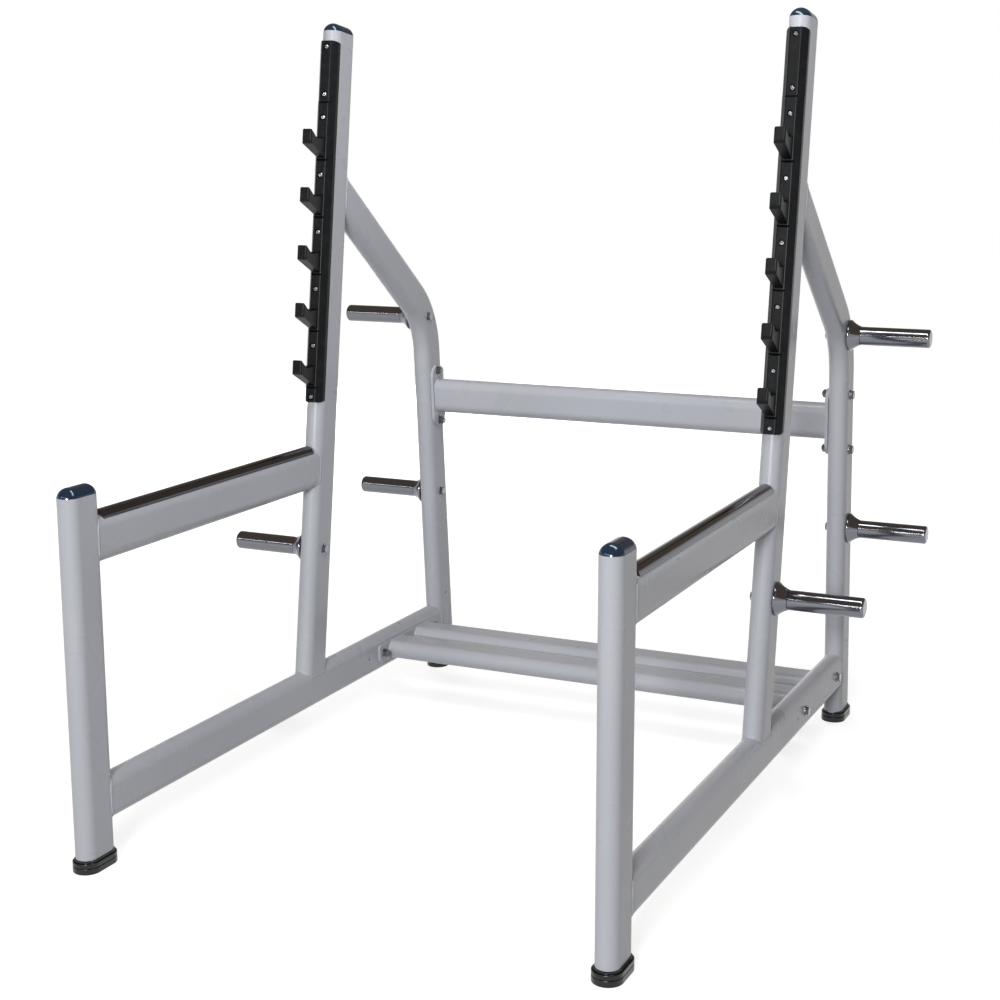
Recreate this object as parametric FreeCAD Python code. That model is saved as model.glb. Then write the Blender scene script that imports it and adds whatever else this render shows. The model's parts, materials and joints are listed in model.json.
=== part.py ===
"""Squat rack: two side frames of flat-oval tube, bolted together by cross tubes.

Millimetres and degrees. X runs across the rack with the left side frame at -X,
Y runs from the open front to the back, Z up. The origin is on the floor,
midway between the side frames and midway between front and rear feet.

Leaning members are modelled in the frame of their own axis: local Z runs up
the axis from the floor, local Y points to the back, X stays across.
"""
import FreeCAD, Part
import math
import os

from FreeCAD import Placement, Rotation, Vector

# Flat-oval tube of posts, rails, uprights and legs
TUBE_WIDTH = 50.0
TUBE_DEPTH = 100.0
TUBE_WALL = 2.5

# Side frames, from the front post's axis and the floor
FRAME_SPACING = 1190.0
STANCE = 1640.0
POST_HEIGHT = 811.0
BASE_RAIL_HEIGHT = 143.0
SPOTTER_RAIL_DROP = 102.0
COPE_LAND = 2.0

# Leaning upright, and the guard's foot above the spotter rail's axis
UPRIGHT_SETBACK = 870.0
UPRIGHT_LEAN_ANGLE = 7.45
GUARD_FOOT_RISE = 163.5

# Bent rear leg: straight leg, knee and strut in one tube
LEG_LEAN_ANGLE = 4.7
KNEE_GAP = 41.6
KNEE_RADIUS = 214.0
KNEE_TURN_ANGLE = 48.5

# Vent holes for the galvanising of the closed tubes
VENT_RADIUS = 4.5
BASE_VENT_GAP = 48.0
LEG_VENT_RISE = 80.0

# Domed end caps
CAP_RISE_SHARE = 0.82
CAP_SPIGOT_LENGTH = 18.0
CAP_WALL = 3.0
CAP_HOLLOW = 7.0
CAP_CLEARANCE = 0.25

# Rubber boots under posts and legs
BOOT_FLOOR = 8.0
BOOT_GROWTH = 6.5
BOOT_LOWER_BEAD = 14.0
BOOT_UPPER_BEAD = 11.0
BOOT_BEAD_ROUND = 2.0
BOOT_LIP_GROWTH = 2.5
BOOT_LIP_HEIGHT = 5.0
BOOT_LIP_BEVEL = 1.0
BOOT_CLEARANCE = 0.2

# Half-round wear strip on the spotter rail
STRIP_RISE = 10.7
STRIP_SKIRT = 7.7
STRIP_EDGE = 1.8
STRIP_END_GAP = 12.0

# Guard mouldings on the front nose of the upright
GUARD_TOP_GAP = 26.5
GUARD_LENGTH = 148.5
GUARD_FACE = 26.0
GUARD_PROUD = 7.0
GUARD_SHOULDER = 17.0
GUARD_SKIRT = 0.6
GUARD_STOP = 5.0
GUARD_EDGE_ROUND = 5.0
GUARD_CORNER_ROUND = 7.5
GUARD_BROW = 5.0
GUARD_SCREW_DROP = 14.5
GUARD_SCREW_RISE = 17.0
GUARD_END_LENGTH = 39.0
GUARD_END_SCREW_DROP = 26.0

# Bar catches: drops from the top of the module, seat and reach from its front face
CATCH_COUNT = 5
CATCH_LENGTH = 141.5
CATCH_PROUD = 8.5
CATCH_SCREW_DROP = 39.0
CATCH_SEAT_DROP = 87.0
CATCH_SEAT_LENGTH = 42.0
CATCH_REACH = 72.0
CATCH_LIP_RISE = 15.7
CATCH_LIP_TOP = 5.5
CATCH_LIP_FACE = 33.7
CATCH_ROOT_WIDTH = 21.0
CATCH_LIP_WIDTH = 27.0
CATCH_HEEL = 1.0
CATCH_HEEL_FLAT = 1.0
CATCH_SEAT_ROUND = 9.0
CATCH_CROWN_ROUND = 5.5
CATCH_LIP_ROUND = 2.0
CATCH_LIP_SIDE_ROUND = 4.0
CATCH_LIP_CORNER_ROUND = 6.0
CATCH_CHIN_ROUND = 10.0

# Guard screws
SCREW_RADIUS = 3.0
SCREW_GRIP = 5.0
SCREW_HEAD_RADIUS = 6.0
SCREW_HEAD_HEIGHT = 3.2
SCREW_HEAD_BEVEL = 1.8
SCREW_SOCKET_FLATS = 4.0
SCREW_SOCKET_DEPTH = 2.0
SCREW_HEAD_ROOM = 2.0
SCREW_SINK = 0.4
SCREW_CLEARANCE = 0.4

# Weight pegs, collars and the places of their axes
PEG_RADIUS = 23.0
PEG_NECK_DROP = 1.2
PEG_LENGTH = 204.0
PEG_WALL = 4.0
PEG_TIP_THICKNESS = 9.0
PEG_TIP_ROUND = 6.0
PEG_ROOT_THICKNESS = 16.0
UPRIGHT_PEG_REACH = 505.0
LEG_PEG_DROP = 283.0
KNEE_PEG_ANGLE = 28.5
COLLAR_RISE = 16.0
COLLAR_RIM = 8.0
COLLAR_RIM_ROUND = 2.5
COLLAR_LENGTH = 30.0
COLLAR_LIP = 1.5
COLLAR_HOLLOW = 1.5
COLLAR_CLEARANCE = 0.2

# Bolts and nuts
HEXAGON_CORNER_COUNT = 6
BOLT_RADIUS = 6.0
BOLT_HEAD_FLATS = 19.0
BOLT_HEAD_HEIGHT = 9.0
BOLT_FLANGE_RADIUS = 13.0
BOLT_FLANGE_THICKNESS = 2.5
BOLT_END = 3.0
NUT_HEIGHT = 12.0
HOLE_CLEARANCE = 0.5

# Upper cross rail between the rear legs
CROSS_RAIL_REACH = 816.0
CROSS_RAIL_DEPTH = 95.0
CROSS_PLATE_LIP = 8.0
CROSS_PLATE_MARGIN = 39.5
CROSS_PLATE_THICKNESS = 8.0
CROSS_BOLT_INSET = 15.0

# Lower cross tubes between the base rails, their plates ahead of the rear leg's foot
LOWER_PLATE_GAP = 30.0
LOWER_TUBE_SPACING = 150.0
LOWER_PLATE_MARGIN = 50.0
LOWER_PLATE_THICKNESS = 6.0
LOWER_PLATE_ROUND = 10.0
LOWER_BOLT_INSET = 23.0

# Overrun of every cut, and how nearly parallel an edge has to be
OVERRUN = 20.0
PARALLEL_SHARE = 1e-6

# What the tubes share
HALF_WIDTH = TUBE_WIDTH / 2
HALF_DEPTH = TUBE_DEPTH / 2
NOSE_ROOT = HALF_DEPTH - HALF_WIDTH
ACROSS = Vector(1, 0, 0)
BACK = Vector(0, 1, 0)
UP = Vector(0, 0, 1)
LEVEL = Placement(Vector(), Rotation(Vector(1, 1, 1), 120))

# Heights and lengths that follow from the sizes above; a reach is measured up a leaning axis
SPOTTER_RAIL_HEIGHT = POST_HEIGHT - SPOTTER_RAIL_DROP
RAIL_CROSSING_REACH = SPOTTER_RAIL_HEIGHT / math.cos(math.radians(UPRIGHT_LEAN_ANGLE))
CATCHES_LOW = RAIL_CROSSING_REACH + GUARD_FOOT_RISE + GUARD_END_LENGTH
CATCHES_HIGH = CATCHES_LOW + CATCH_COUNT * CATCH_LENGTH
UPRIGHT_REACH = CATCHES_HIGH + GUARD_LENGTH + GUARD_TOP_GAP
BOOT_SHOULDER = BOOT_LOWER_BEAD + BOOT_UPPER_BEAD
BOOT_HEIGHT = BOOT_SHOULDER + BOOT_LIP_HEIGHT
SCREW_POCKET_DEPTH = SCREW_HEAD_HEIGHT + SCREW_SINK
CROSS_PLATE_WIDTH = TUBE_WIDTH + 2 * CROSS_PLATE_LIP
CROSS_PLATE_LENGTH = CROSS_RAIL_DEPTH + 2 * CROSS_PLATE_MARGIN
KNEE_START = CROSS_RAIL_REACH + CROSS_PLATE_LENGTH / 2 + KNEE_GAP
LEG_PEG_REACH = CROSS_RAIL_REACH - LEG_PEG_DROP
LOWER_PLATE_LENGTH = LOWER_TUBE_SPACING + TUBE_DEPTH + 2 * LOWER_PLATE_MARGIN
LOWER_TUBE_SETBACK = STANCE - HALF_DEPTH - LOWER_PLATE_GAP - LOWER_PLATE_LENGTH / 2


def standing(setback, lean):
    """Frame of a member whose axis leaves the floor behind the front post and leans back by an angle."""
    return Placement(Vector(0, setback - STANCE / 2, 0), Rotation(ACROSS, -lean))


def lying(height):
    """Frame of a rail from the front post's axis to the back: local Z back, local Y down."""
    return Placement(Vector(0, -STANCE / 2, height), Rotation(ACROSS, -90))


POST = standing(0, 0)
UPRIGHT = standing(UPRIGHT_SETBACK, UPRIGHT_LEAN_ANGLE)
LEG = standing(STANCE, -LEG_LEAN_ANGLE)
BASE_RAIL = lying(BASE_RAIL_HEIGHT)
SPOTTER_RAIL = lying(SPOTTER_RAIL_HEIGHT)


def placed(shape, frame):
    """The shape moved into a frame."""
    moved = shape.copy()
    moved.Placement = frame.multiply(moved.Placement)
    return moved


def lifted(shape, height):
    """The shape moved up the local Z axis."""
    return placed(shape, Placement(UP * height, Rotation()))


def loop(*curves):
    """A closed wire from curves that follow each other."""
    return Part.Wire([curve.toShape() for curve in curves])


def rounded_outline(corners):
    """A closed wire through corner points, each given with the radius of its rounding."""
    edges = []
    tangents = []
    for index, (corner, radius) in enumerate(corners):
        before = (corners[index - 1][0] - corner).normalize()
        after = (corners[(index + 1) % len(corners)][0] - corner).normalize()
        if radius == 0:
            tangents.append((corner, corner))
            continue
        half_angle = before.getAngle(after) / 2
        offset = radius / math.tan(half_angle)
        inward = (before + after).normalize()
        middle = corner + inward * (radius / math.sin(half_angle) - radius)
        start = corner + before * offset
        end = corner + after * offset
        edges.append(Part.Arc(start, middle, end).toShape())
        tangents.append((start, end))
    for index, (start, _) in enumerate(tangents):
        edges.append(Part.LineSegment(tangents[index - 1][1], start).toShape())
    return Part.Wire(Part.__sortEdges__(edges))


def oval_wire(width, depth):
    """Flat-oval outline: two flats and two half-round noses, the long way along Y."""
    nose = width / 2
    root = depth / 2 - nose
    tip = depth / 2
    return loop(
        Part.LineSegment(Vector(nose, -root, 0), Vector(nose, root, 0)),
        Part.Arc(Vector(nose, root, 0), Vector(0, tip, 0), Vector(-nose, root, 0)),
        Part.LineSegment(Vector(-nose, root, 0), Vector(-nose, -root, 0)),
        Part.Arc(Vector(-nose, -root, 0), Vector(0, -tip, 0), Vector(nose, -root, 0)),
    )


def oval_bar(width, depth, length):
    """Solid flat-oval bar along Z."""
    return Part.Face(oval_wire(width, depth)).extrude(UP * length)


def oval_ring(width, depth, wall):
    """Flat-oval ring, the section of a tube."""
    outer = Part.Face(oval_wire(width, depth))
    inner = Part.Face(oval_wire(width - 2 * wall, depth - 2 * wall))
    return outer.cut(inner)


def oval_tube(length, depth=TUBE_DEPTH):
    """Flat-oval tube along Z."""
    return oval_ring(TUBE_WIDTH, depth, TUBE_WALL).extrude(UP * length)


def coped(tube, mate, mate_length, side):
    """The tube cut to hug the front (-1) or back (1) nose of another oval tube."""
    root = NOSE_ROOT + COPE_LAND
    near = -root if side < 0 else -TUBE_DEPTH
    block = Part.makeBox(2 * TUBE_WIDTH, root + TUBE_DEPTH, mate_length, Vector(-TUBE_WIDTH, near, 0))
    bar = oval_bar(TUBE_WIDTH, TUBE_DEPTH, mate_length)
    return tube.cut(placed(block, mate)).cut(placed(bar, mate))


def cross_drill(radius, y, z):
    """Cylinder along X that drills a tube through both flats."""
    length = TUBE_WIDTH + 2 * OVERRUN
    return Part.makeCylinder(radius, length, Vector(-length / 2, y, z), ACROSS)


def bolt_drill(y, z):
    """Clearance hole of a bolt through both flats of a tube."""
    return cross_drill(BOLT_RADIUS + HOLE_CLEARANCE, y, z)


def edges_along(shape, direction):
    """Straight edges of a shape that run along a direction."""
    lines = [edge for edge in shape.Edges if edge.Curve.TypeId == "Part::GeomLine"]
    return [edge for edge in lines if edge.Curve.Direction.cross(direction).Length < PARALLEL_SHARE]


def turned(outline):
    """Round part from a closed outline of (x, radius), turned about the X axis."""
    return Part.Face(outline).revolve(Vector(), ACROSS, 360)


def front_post():
    """Vertical post at the open end of a side frame."""
    tube = oval_tube(POST_HEIGHT - BOOT_FLOOR)
    return placed(lifted(tube, BOOT_FLOOR), POST)


def spotter_rail():
    """Level rail from the front post to the upright, coped at both ends."""
    run = UPRIGHT_SETBACK + math.tan(math.radians(UPRIGHT_LEAN_ANGLE)) * SPOTTER_RAIL_HEIGHT
    rail = placed(oval_tube(run), SPOTTER_RAIL)
    rail = coped(rail, POST, POST_HEIGHT, 1)
    return coped(rail, UPRIGHT, UPRIGHT_REACH, -1)


def base_rail():
    """Low rail from the front post to the rear leg, drilled for the lower plates."""
    rail = oval_tube(STANCE)
    for y in lower_bolt_places():
        rail = rail.cut(bolt_drill(0, y))
    vent = LOWER_TUBE_SETBACK - LOWER_PLATE_LENGTH / 2 - BASE_VENT_GAP
    rail = rail.cut(cross_drill(VENT_RADIUS, 0, vent))
    rail = placed(rail, BASE_RAIL)
    rail = coped(rail, POST, POST_HEIGHT, 1)
    return coped(rail, LEG, KNEE_START, -1)


def upright():
    """Leaning upright that stands on the base rail."""
    tube = lifted(oval_tube(UPRIGHT_REACH - BASE_RAIL_HEIGHT), BASE_RAIL_HEIGHT)
    tube = tube.cut(bolt_drill(0, UPRIGHT_PEG_REACH))
    for z in screw_places():
        tip = Vector(0, -HALF_DEPTH - OVERRUN, z)
        tube = tube.cut(Part.makeCylinder(SCREW_RADIUS, OVERRUN + HALF_WIDTH, tip, BACK))
    return coped(placed(tube, UPRIGHT), BASE_RAIL, STANCE, -1)


def bend_axis():
    """Centre of the knee's bend, ahead of the leg, in the leg's frame."""
    return Vector(0, -KNEE_RADIUS, KNEE_START)


def knee_point(turn):
    """Point of the leg's axis after this much of the bend, in the leg's frame."""
    angle = math.radians(turn)
    return bend_axis() + Vector(0, KNEE_RADIUS * math.cos(angle), KNEE_RADIUS * math.sin(angle))


def strut_run():
    """Length of the straight strut from the bend to the upright's axis."""
    direction = LEG.Rotation.multVec(Rotation(ACROSS, KNEE_TURN_ANGLE).multVec(UP))
    start = LEG.multVec(knee_point(KNEE_TURN_ANGLE))
    normal = UPRIGHT.Rotation.multVec(BACK)
    return (UPRIGHT.Base - start).dot(normal) / direction.dot(normal)


def rear_leg():
    """Rear leg and strut bent from one tube, level at the foot and coped to the upright."""
    leg = oval_tube(KNEE_START)
    end_section = lifted(oval_ring(TUBE_WIDTH, TUBE_DEPTH, TUBE_WALL), KNEE_START)
    knee = end_section.revolve(bend_axis(), ACROSS, KNEE_TURN_ANGLE)
    strut_section = end_section.copy()
    strut_section.rotate(bend_axis(), ACROSS, KNEE_TURN_ANGLE)
    strut = strut_section.extrude(Rotation(ACROSS, KNEE_TURN_ANGLE).multVec(UP) * strut_run())
    tube = leg.fuse([knee, strut]).removeSplitter()
    peg = knee_point(KNEE_PEG_ANGLE)
    tube = tube.cut([bolt_drill(peg.y, peg.z), bolt_drill(0, LEG_PEG_REACH)])
    for z in cross_bolt_places():
        tube = tube.cut(bolt_drill(0, z))
    tube = tube.cut(cross_drill(VENT_RADIUS, 0, BASE_RAIL_HEIGHT + LEG_VENT_RISE))
    tube = coped(placed(tube, LEG), UPRIGHT, UPRIGHT_REACH, 1)
    room = Part.makeBox(2 * TUBE_WIDTH, 2 * TUBE_DEPTH, BOOT_FLOOR + OVERRUN)
    room.translate(Vector(-TUBE_WIDTH, STANCE / 2 - TUBE_DEPTH, -OVERRUN))
    return tube.cut(room)


def cap_dome():
    """Loaf-shaped dome over the oval tube: one arc, drawn along the flats and turned round the noses."""
    rise = HALF_WIDTH * CAP_RISE_SHARE
    radius = (HALF_WIDTH ** 2 + rise ** 2) / (2 * rise)
    half_angle = math.asin(HALF_WIDTH / radius) / 2
    drop = radius * (1 - math.cos(half_angle))
    rim = Vector(HALF_WIDTH, 0, 0)
    shoulder = Vector(radius * math.sin(half_angle), 0, rise - drop)
    crown = Vector(0, 0, rise)
    section = loop(Part.Arc(rim, crown, -rim), Part.LineSegment(-rim, rim))
    middle = Part.Face(section).extrude(BACK * (2 * NOSE_ROOT))
    middle.translate(BACK * -NOSE_ROOT)
    half_section = loop(
        Part.LineSegment(Vector(), rim),
        Part.Arc(rim, shoulder, crown),
        Part.LineSegment(crown, Vector()),
    )
    back_nose = Part.Face(half_section).revolve(Vector(), UP, 180)
    back_nose.translate(BACK * NOSE_ROOT)
    front_nose = back_nose.copy()
    front_nose.rotate(Vector(), UP, 180)
    return middle.fuse([back_nose, front_nose])


def end_cap():
    """Domed cap with a hollow spigot, seated on a tube end at z = 0."""
    bore_width = TUBE_WIDTH - 2 * (TUBE_WALL + CAP_CLEARANCE)
    bore_depth = TUBE_DEPTH - 2 * (TUBE_WALL + CAP_CLEARANCE)
    spigot = lifted(oval_bar(bore_width, bore_depth, CAP_SPIGOT_LENGTH), -CAP_SPIGOT_LENGTH)
    hollow = oval_bar(bore_width - 2 * CAP_WALL, bore_depth - 2 * CAP_WALL, CAP_SPIGOT_LENGTH + CAP_HOLLOW)
    return cap_dome().fuse(spigot).cut(lifted(hollow, -CAP_SPIGOT_LENGTH)).removeSplitter()


def boot_layer(growth, low, high):
    """Oval layer of a boot between two heights."""
    return lifted(oval_bar(TUBE_WIDTH + 2 * growth, TUBE_DEPTH + 2 * growth, high - low), low)


def boot_bead(low, high):
    """Full-width layer of a boot, rounded along both rims."""
    layer = boot_layer(BOOT_GROWTH, low, high)
    rims = [edge for edge in layer.Edges if edge.BoundBox.ZLength < BOOT_BEAD_ROUND]
    return layer.makeFillet(BOOT_BEAD_ROUND, rims)


def boot(tube_frame):
    """Rubber boot on the floor round the end of a tube: two beads and a thin lip."""
    lip = boot_layer(BOOT_LIP_GROWTH, BOOT_FLOOR, BOOT_HEIGHT)
    rim = [edge for edge in lip.Edges if edge.BoundBox.ZMin > BOOT_SHOULDER]
    lip = lip.makeChamfer(BOOT_LIP_BEVEL, rim)
    lower = boot_bead(0, BOOT_LOWER_BEAD)
    upper = boot_bead(BOOT_LOWER_BEAD, BOOT_SHOULDER)
    body = placed(lip.fuse([lower, upper]).removeSplitter(), Placement(tube_frame.Base, Rotation()))
    gap = 2 * BOOT_CLEARANCE
    socket = placed(oval_bar(TUBE_WIDTH + gap, TUBE_DEPTH + gap, BOOT_HEIGHT + OVERRUN), tube_frame)
    below = Part.makeBox(2 * TUBE_WIDTH, 2 * TUBE_DEPTH, BOOT_FLOOR + OVERRUN)
    below.translate(tube_frame.Base + Vector(-TUBE_WIDTH, -TUBE_DEPTH, -OVERRUN))
    return body.cut(socket.cut(below))


def wear_strip():
    """Half-round chrome strip on the top nose of the spotter rail."""
    nose_centre = SPOTTER_RAIL_HEIGHT + NOSE_ROOT
    crown = nose_centre + HALF_WIDTH
    skirt = crown - STRIP_SKIRT
    inner = math.sqrt(HALF_WIDTH ** 2 - (skirt - nose_centre) ** 2)
    outer = inner + STRIP_EDGE
    lean = math.radians(UPRIGHT_LEAN_ANGLE)
    start = HALF_DEPTH + STRIP_END_GAP
    upright_nose = UPRIGHT_SETBACK + math.tan(lean) * skirt - HALF_DEPTH / math.cos(lean)
    run = upright_nose - STRIP_END_GAP - start
    section = loop(
        Part.Arc(Vector(-outer, 0, skirt), Vector(0, 0, crown + STRIP_RISE), Vector(outer, 0, skirt)),
        Part.LineSegment(Vector(outer, 0, skirt), Vector(inner, 0, skirt)),
        Part.Arc(Vector(inner, 0, skirt), Vector(0, 0, crown), Vector(-inner, 0, skirt)),
        Part.LineSegment(Vector(-inner, 0, skirt), Vector(-outer, 0, skirt)),
    )
    strip = Part.Face(section).extrude(BACK * run)
    return placed(strip, Placement(POST.Base + BACK * start, Rotation()))


def guard_bar(proud, length):
    """Moulding that wraps the upright's front nose, from z = 0 upwards."""
    face = GUARD_FACE / 2
    side = HALF_WIDTH + GUARD_SKIRT
    front = -HALF_DEPTH - proud
    shoulder = front + GUARD_SHOULDER
    rear = -NOSE_ROOT - GUARD_STOP
    inner = math.sqrt(HALF_WIDTH ** 2 - (rear + NOSE_ROOT) ** 2)
    section = loop(
        Part.LineSegment(Vector(-face, front, 0), Vector(face, front, 0)),
        Part.LineSegment(Vector(face, front, 0), Vector(side, shoulder, 0)),
        Part.LineSegment(Vector(side, shoulder, 0), Vector(side, rear, 0)),
        Part.LineSegment(Vector(side, rear, 0), Vector(inner, rear, 0)),
        Part.Arc(Vector(inner, rear, 0), Vector(0, -HALF_DEPTH, 0), Vector(-inner, rear, 0)),
        Part.LineSegment(Vector(-inner, rear, 0), Vector(-side, rear, 0)),
        Part.LineSegment(Vector(-side, rear, 0), Vector(-side, shoulder, 0)),
        Part.LineSegment(Vector(-side, shoulder, 0), Vector(-face, front, 0)),
    )
    bar = Part.Face(section).extrude(UP * length)
    ridges = [edge for edge in edges_along(bar, UP) if edge.CenterOfMass.y < (front + shoulder) / 2]
    return bar.makeFillet(GUARD_EDGE_ROUND, ridges)


def brow_cut(length):
    """Wedge that bevels the top front edge of a catch module's body."""
    front = -HALF_DEPTH - CATCH_PROUD
    x = -TUBE_WIDTH
    wedge = Part.makePolygon([
        Vector(x, front - OVERRUN, length - GUARD_BROW - OVERRUN),
        Vector(x, front + GUARD_BROW + OVERRUN, length + OVERRUN),
        Vector(x, front - OVERRUN, length + OVERRUN),
        Vector(x, front - OVERRUN, length - GUARD_BROW - OVERRUN),
    ])
    return Part.Face(wedge).extrude(ACROSS * (2 * TUBE_WIDTH))


def screw_pocket(proud, z):
    """Pocket and hole of one guard screw."""
    front = -HALF_DEPTH - proud
    hole = Part.makeCylinder(SCREW_RADIUS + SCREW_CLEARANCE, proud + OVERRUN, Vector(0, front, z), BACK)
    radius = SCREW_HEAD_RADIUS + SCREW_HEAD_ROOM
    depth = SCREW_POCKET_DEPTH + OVERRUN
    pocket = Part.makeCylinder(radius, depth, Vector(0, front - OVERRUN, z), BACK)
    return hole.fuse(pocket)


def guard_window(length):
    """Front view of a moulding with its lower corners rounded, as a cutter to keep."""
    side = HALF_WIDTH + GUARD_SKIRT
    near = -TUBE_DEPTH
    outline = rounded_outline([
        (Vector(-side, near, 0), GUARD_CORNER_ROUND),
        (Vector(side, near, 0), GUARD_CORNER_ROUND),
        (Vector(side, near, length), 0),
        (Vector(-side, near, length), 0),
    ])
    return Part.Face(outline).extrude(BACK * 2 * TUBE_DEPTH)


def top_guard():
    """Plain guard above the catches, its upper corners rounded."""
    bar = guard_bar(GUARD_PROUD, GUARD_LENGTH)
    window = guard_window(GUARD_LENGTH)
    window.rotate(UP * (GUARD_LENGTH / 2), BACK, 180)
    bar = bar.common(window)
    for z in (GUARD_SCREW_RISE, GUARD_LENGTH - GUARD_SCREW_DROP):
        bar = bar.cut(screw_pocket(GUARD_PROUD, z))
    return placed(lifted(bar, CATCHES_HIGH), UPRIGHT)


def guard_end():
    """Short closing piece below the last catch, its lower corners rounded."""
    bar = guard_bar(CATCH_PROUD, GUARD_END_LENGTH).common(guard_window(GUARD_END_LENGTH))
    bar = bar.cut(brow_cut(GUARD_END_LENGTH))
    bar = bar.cut(screw_pocket(CATCH_PROUD, GUARD_END_LENGTH - GUARD_END_SCREW_DROP))
    return placed(lifted(bar, CATCHES_LOW - GUARD_END_LENGTH), UPRIGHT)


def screw_places():
    """Reaches up the upright of the guard screws, from the top down."""
    places = [CATCHES_HIGH + GUARD_LENGTH - GUARD_SCREW_DROP, CATCHES_HIGH + GUARD_SCREW_RISE]
    for index in range(CATCH_COUNT):
        places.append(CATCHES_HIGH - index * CATCH_LENGTH - CATCH_SCREW_DROP)
    places.append(CATCHES_LOW - GUARD_END_SCREW_DROP)
    return places


def arm_point(x, ahead, z):
    """Point of a catch's arm, a distance ahead of the module's face."""
    return Vector(x, -HALF_DEPTH - CATCH_PROUD - ahead, z)


def arm_side(corners):
    """Slab with a side view of the arm, each corner a distance ahead, a height and a rounding."""
    x = -CATCH_LIP_WIDTH
    outline = rounded_outline([(arm_point(x, ahead, z), radius) for ahead, z, radius in corners])
    return Part.Face(outline).extrude(ACROSS * (2 * CATCH_LIP_WIDTH))


def arm_plan(start, end, radius):
    """Upright prism with the plan view of the arm, which widens evenly from its root to its lip."""
    outline = []
    for side, ahead, rounding in ((-1, start, 0), (1, start, 0), (1, end, radius), (-1, end, radius)):
        width = CATCH_ROOT_WIDTH + (CATCH_LIP_WIDTH - CATCH_ROOT_WIDTH) * ahead / CATCH_REACH
        outline.append((arm_point(side * width / 2, ahead, 0), rounding))
    return Part.Face(rounded_outline(outline)).extrude(UP * (2 * CATCH_LENGTH))


def arm_front(start, end, top):
    """Prism along Y with the front view of the arm: round heel, rounded upper corners."""
    half = CATCH_LIP_WIDTH / 2
    heel = half - CATCH_HEEL_FLAT / 2
    outline = rounded_outline([
        (arm_point(-half, end, CATCH_HEEL), heel),
        (arm_point(half, end, CATCH_HEEL), heel),
        (arm_point(half, end, top), CATCH_LIP_CORNER_ROUND),
        (arm_point(-half, end, top), CATCH_LIP_CORNER_ROUND),
    ])
    return Part.Face(outline).extrude(BACK * (end - start))


def catch_arm():
    """Arm of a catch: level seat, ramp up to the lip, both crowned round at the sides."""
    fall = math.tan(math.radians(UPRIGHT_LEAN_ANGLE))
    seat = CATCH_LENGTH - CATCH_SEAT_DROP
    throat = seat - CATCH_SEAT_LENGTH * fall
    lip_top = throat + CATCH_LIP_RISE
    ramp = CATCH_LIP_RISE / (CATCH_REACH - CATCH_LIP_TOP - CATCH_SEAT_LENGTH)
    start = -CATCH_PROUD / 2
    end = 2 * CATCH_REACH
    ramp_end = throat + (end - CATCH_SEAT_LENGTH) * ramp
    seat_corners = [(start, seat - start * fall, 0), (CATCH_SEAT_LENGTH, throat, CATCH_SEAT_ROUND)]
    crown = arm_side(seat_corners + [(end, ramp_end, 0), (end, 0, 0), (start, 0, 0)])
    crown = crown.common(arm_plan(start, end, 0)).Solids[0]
    rims = [edge for edge in crown.Edges
            if edge.BoundBox.ZMin > CATCH_HEEL and edge.BoundBox.YLength > CATCH_LIP_ROUND]
    crown = crown.makeFillet(CATCH_CROWN_ROUND, rims)
    arm = arm_side(seat_corners + [
        (CATCH_REACH - CATCH_LIP_TOP, lip_top, 0),
        (CATCH_REACH, lip_top, CATCH_LIP_ROUND),
        (CATCH_REACH, lip_top - CATCH_LIP_FACE, CATCH_CHIN_ROUND),
        (start, CATCH_HEEL, 0),
    ])
    for view in (arm_plan(start, CATCH_REACH, CATCH_LIP_SIDE_ROUND), arm_front(start, end, lip_top), crown):
        arm = arm.common(view)
    return arm


def bar_catch(index):
    """One catch module, counted from the top."""
    body = guard_bar(CATCH_PROUD, CATCH_LENGTH).cut(brow_cut(CATCH_LENGTH))
    body = body.fuse(catch_arm()).removeSplitter()
    body = body.cut(screw_pocket(CATCH_PROUD, CATCH_LENGTH - CATCH_SCREW_DROP))
    return placed(lifted(body, CATCHES_HIGH - (index + 1) * CATCH_LENGTH), UPRIGHT)


def guard_screw(proud):
    """Button-head screw in its pocket: bevelled head with a hexagon socket, shank through the tube's wall."""
    seat = SCREW_POCKET_DEPTH - proud
    top = -SCREW_HEAD_HEIGHT
    head = Part.makeCylinder(SCREW_HEAD_RADIUS, SCREW_HEAD_HEIGHT, Vector(top, 0, 0), ACROSS)
    crown = [edge for edge in head.Edges if edge.BoundBox.XMax < top / 2]
    head = head.makeChamfer(SCREW_HEAD_BEVEL, crown)
    socket = hexagon(SCREW_SOCKET_FLATS, SCREW_SOCKET_DEPTH + OVERRUN)
    socket.translate(ACROSS * (top - OVERRUN))
    shank = Part.makeCylinder(SCREW_RADIUS, TUBE_WALL + SCREW_GRIP - seat, Vector(), ACROSS)
    screw = head.fuse(shank).cut(socket).removeSplitter()
    return placed(screw, Placement(Vector(0, seat - HALF_DEPTH, 0), Rotation(UP, 90)))


def guard_screws():
    """All screws of one upright's guard, as separate solids."""
    screws = []
    for index, z in enumerate(screw_places()):
        proud = GUARD_PROUD if index < 2 else CATCH_PROUD
        screws.append(placed(lifted(guard_screw(proud), z), UPRIGHT))
    return Part.makeCompound(screws)


def peg_places():
    """Frames at which the three pegs of a side cross the axis of their tube."""
    knee = knee_point(KNEE_PEG_ANGLE)
    return {
        "upright": UPRIGHT.multiply(Placement(UP * UPRIGHT_PEG_REACH, Rotation())),
        "leg_lower": LEG.multiply(Placement(UP * LEG_PEG_REACH, Rotation())),
        "leg_upper": LEG.multiply(Placement(knee, Rotation())),
    }


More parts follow.
